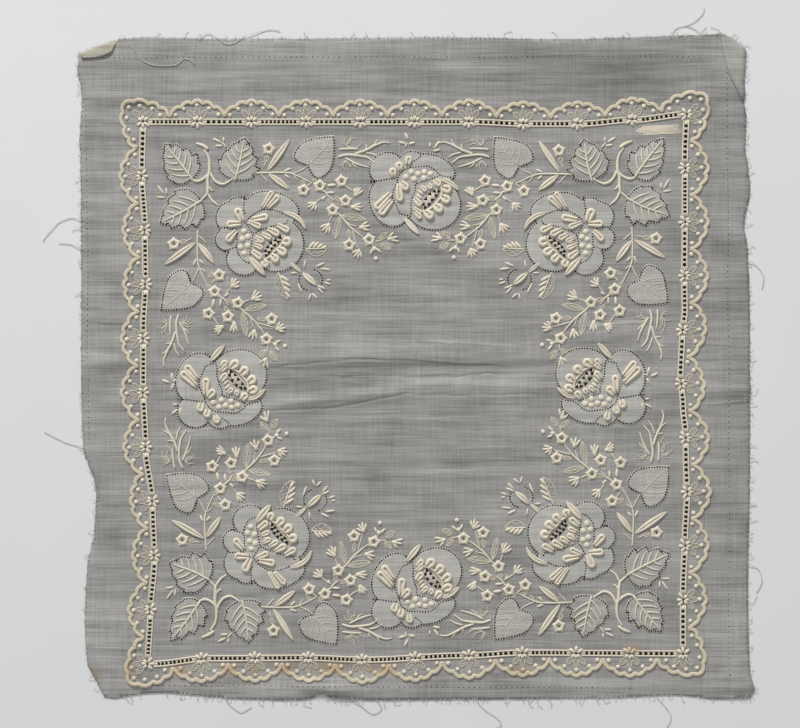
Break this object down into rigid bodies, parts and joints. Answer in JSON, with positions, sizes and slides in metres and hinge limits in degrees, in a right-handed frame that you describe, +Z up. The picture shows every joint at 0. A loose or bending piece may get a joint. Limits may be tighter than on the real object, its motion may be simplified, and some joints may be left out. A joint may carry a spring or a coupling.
{
  "type": "embroidered handkerchief",
  "caption": "Square sheer cotton handkerchief laid flat, with applied roses and leaves, a ladder band with rosettes, a lobed scalloped edging, raw outer edges and turned corners.",
  "frame": {"origin": "on the resting surface, under the middle of the cloth's bounding box", "axes": "+Z up, off the face of the cloth; +Y towards the top of the design as the picture shows it; +X towards the right of the picture"},
  "size_m": [0.3798, 0.3746, 0.0031],
  "materials": {
    "lawn": "matte, sheer, slubbed",
    "applied_lawn": "matte, doubled lawn",
    "cotton_thread": "soft sheen of satin-stitched cotton"
  },
  "bodies": {
    "root": {"ground_cloth": "lawn", "heart_leaf_level_bottom_left": "applied_lawn", "heart_leaf_level_bottom_right": "applied_lawn", "heart_leaf_level_top_left": "applied_lawn", "heart_leaf_level_top_right": "applied_lawn", "heart_leaf_upright_bottom_left": "applied_lawn", "heart_leaf_upright_bottom_right": "applied_lawn", "heart_leaf_upright_top_left": "applied_lawn", "heart_leaf_upright_top_right": "applied_lawn", "ladder_band": "cotton_thread", "leaf_corner_bottom_left": "applied_lawn", "leaf_corner_bottom_right": "applied_lawn", "leaf_corner_top_left": "applied_lawn", "leaf_corner_top_right": "applied_lawn", "leaf_level_bottom_left": "applied_lawn", "leaf_level_bottom_right": "applied_lawn", "leaf_level_top_left": "applied_lawn", "leaf_level_top_right": "applied_lawn", "leaf_upright_bottom_left": "applied_lawn", "leaf_upright_bottom_right": "applied_lawn", "leaf_upright_top_left": "applied_lawn", "leaf_upright_top_right": "applied_lawn", "rose_bottom": "applied_lawn", "rose_bottom_left": "applied_lawn", "rose_bottom_right": "applied_lawn", "rose_left": "applied_lawn", "rose_right": "applied_lawn", "rose_top": "applied_lawn", "rose_top_left": "applied_lawn", "rose_top_right": "applied_lawn", "scallop_edging": "cotton_thread"}
  },
  "joints": []
}
